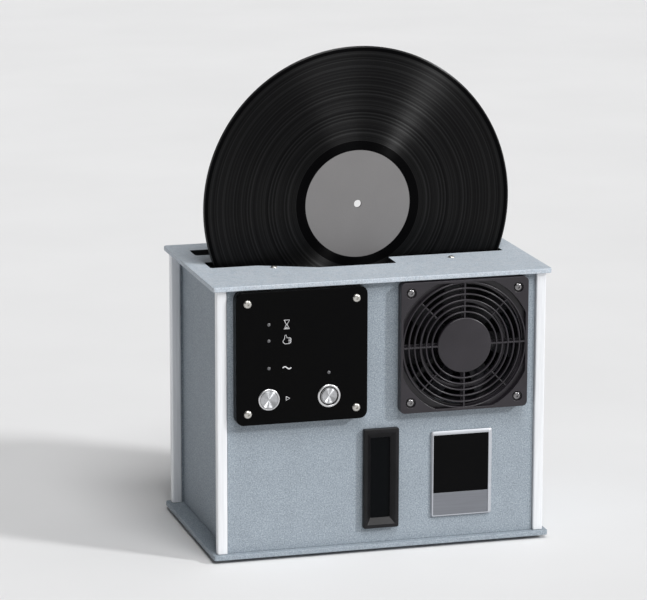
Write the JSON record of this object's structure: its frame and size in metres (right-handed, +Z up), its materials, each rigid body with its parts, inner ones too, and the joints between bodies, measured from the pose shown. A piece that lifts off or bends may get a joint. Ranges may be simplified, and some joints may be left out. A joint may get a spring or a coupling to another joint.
{
  "type": "record cleaning machine",
  "caption": "Desktop record cleaning machine that holds a record upright in a slot over its bath, with a control panel, a guarded fan and a sight window.",
  "frame": {"origin": "middle of the footprint, on the surface that the feet stand on", "axes": "+Z up, +X to the right seen from the front, +Y from the front panel to the rear; the front faces -Y"},
  "size_m": [0.3284, 0.2104, 0.4665],
  "materials": {
    "grey_sheet": "fine matt blue-grey powder coat",
    "anodised_aluminium": "satin natural anodising",
    "black_rubber": "matt black",
    "black_vinyl": "pressed black vinyl with a fine groove sheen",
    "dark_tub_plastic": "moulded, satin dark grey",
    "clear_tank_plastic": "translucent pale blue-grey",
    "blue_microfibre": "short dense pile",
    "white_nylon": "moulded off-white",
    "motor_steel": "drawn steel can",
    "dark_grey_plastic": "fine moulded grain",
    "black_gloss_face": "polished black cover sheet",
    "polished_button_steel": "turned and polished",
    "charcoal_guard_plastic": "satin charcoal",
    "black_fan_plastic": "satin black",
    "green_board": "lacquered circuit board",
    "dark_foam": "open-cell foam",
    "clear_pane": "clear",
    "brushed_badge": "fine brushed, blank"
  },
  "bodies": {
    "case": {"foot_front_left": "black_rubber", "foot_front_right": "black_rubber", "foot_rear_left": "black_rubber", "foot_rear_right": "black_rubber", "wiper_blade_front": "black_rubber", "wiper_blade_rear": "black_rubber", "base_plate": "grey_sheet", "side_panel_left": "grey_sheet", "side_panel_right": "grey_sheet", "front_panel": "grey_sheet", "rear_panel": "grey_sheet", "top_plate": "grey_sheet", "post_front_left": "anodised_aluminium", "post_front_right": "anodised_aluminium", "post_rear_left": "anodised_aluminium", "post_rear_right": "anodised_aluminium", "bath_tub": "dark_tub_plastic", "filter_box": "dark_tub_plastic", "drain_valve": "white_nylon", "gear_plate": "motor_steel", "barrel_motor": "motor_steel", "record_motor": "motor_steel", "ultrasonic_transducer": "motor_steel", "water_tank": "clear_tank_plastic", "circulation_pump": "dark_grey_plastic", "control_housing": "dark_grey_plastic", "window_bezel": "dark_grey_plastic", "power_inlet": "dark_grey_plastic", "drain_plug": "dark_grey_plastic", "power_board": "green_board", "control_board": "green_board", "filter_foam": "dark_foam", "control_face": "black_gloss_face", "start_switch": "polished_button_steel", "power_switch": "polished_button_steel", "fan_guard": "charcoal_guard_plastic", "fan_filter_frame": "charcoal_guard_plastic", "fan_frame": "black_fan_plastic", "window_pane": "clear_pane", "badge_plate": "brushed_badge"},
    "start_button": {"start_button": "polished_button_steel"},
    "power_button": {"power_button": "polished_button_steel"},
    "fan_rotor": {"fan_rotor": "black_fan_plastic"},
    "record": {"vinyl_record": "black_vinyl"},
    "drive_roller": {"drive_roller": "black_rubber"},
    "idler_roller": {"idler_roller": "black_rubber"},
    "pinion": {"drive_pinion": "white_nylon"},
    "barrel_rear_left": {"spindle_rear_left": "white_nylon", "barrel_rear_left": "blue_microfibre"},
    "barrel_rear_right": {"spindle_rear_right": "white_nylon", "barrel_rear_right": "blue_microfibre"},
    "barrel_front_left": {"spindle_front_left": "white_nylon", "barrel_front_left": "blue_microfibre"},
    "barrel_front_right": {"spindle_front_right": "white_nylon", "barrel_front_right": "blue_microfibre"}
  },
  "joints": [
    {"name": "start_button_press", "type": "slide", "parent": "case", "child": "start_button", "axis": [0, 1, 0], "range_m": [0, 0.0015], "stiffness_N_per_m": 500},
    {"name": "power_button_press", "type": "slide", "parent": "case", "child": "power_button", "axis": [0, 1, 0], "range_m": [0, 0.0015], "stiffness_N_per_m": 500},
    {"name": "fan_spin", "type": "hinge", "parent": "case", "child": "fan_rotor", "pos_m": [0.0774, -0.0896, 0.1956], "axis": [0, 1, 0], "continuous": true},
    {"name": "record_spin", "type": "hinge", "parent": "case", "child": "record", "pos_m": [0.0015, -0.002, 0.3157], "axis": [0, 1, 0], "continuous": true},
    {"name": "drive_roller_spin", "type": "hinge", "parent": "case", "child": "drive_roller", "pos_m": [0.10068, -0.002, 0.18875], "axis": [0, 1, 0], "continuous": true},
    {"name": "idler_roller_spin", "type": "hinge", "parent": "case", "child": "idler_roller", "pos_m": [-0.09768, -0.002, 0.18875], "axis": [0, 1, 0], "continuous": true},
    {"name": "barrel_rear_left_spin", "type": "hinge", "parent": "case", "child": "barrel_rear_left", "pos_m": [-0.02535, 0.0133, 0.163], "axis": [0, 0, 1], "continuous": true},
    {"name": "barrel_rear_right_spin", "type": "hinge", "parent": "case", "child": "barrel_rear_right", "pos_m": [0.00985, 0.0133, 0.163], "axis": [0, 0, 1], "continuous": true},
    {"name": "barrel_front_left_spin", "type": "hinge", "parent": "case", "child": "barrel_front_left", "pos_m": [-0.02535, -0.0173, 0.163], "axis": [0, 0, 1], "continuous": true},
    {"name": "barrel_front_right_spin", "type": "hinge", "parent": "case", "child": "barrel_front_right", "pos_m": [0.00985, -0.0173, 0.163], "axis": [0, 0, 1], "continuous": true},
    {"name": "pinion_spin", "type": "hinge", "parent": "case", "child": "pinion", "pos_m": [-0.00775, 0.02803, 0.15], "axis": [0, 0, 1], "continuous": true}
  ],
  "couplings": [
    {"joint": "drive_roller_spin", "follows": "record_spin", "ratio": -15.08},
    {"joint": "idler_roller_spin", "follows": "record_spin", "ratio": -15.08},
    {"joint": "barrel_front_left_spin", "follows": "barrel_rear_left_spin", "ratio": -1},
    {"joint": "pinion_spin", "follows": "barrel_rear_left_spin", "ratio": -2},
    {"joint": "barrel_rear_right_spin", "follows": "barrel_rear_left_spin", "ratio": 1},
    {"joint": "barrel_front_right_spin", "follows": "barrel_rear_left_spin", "ratio": -1}
  ]
}
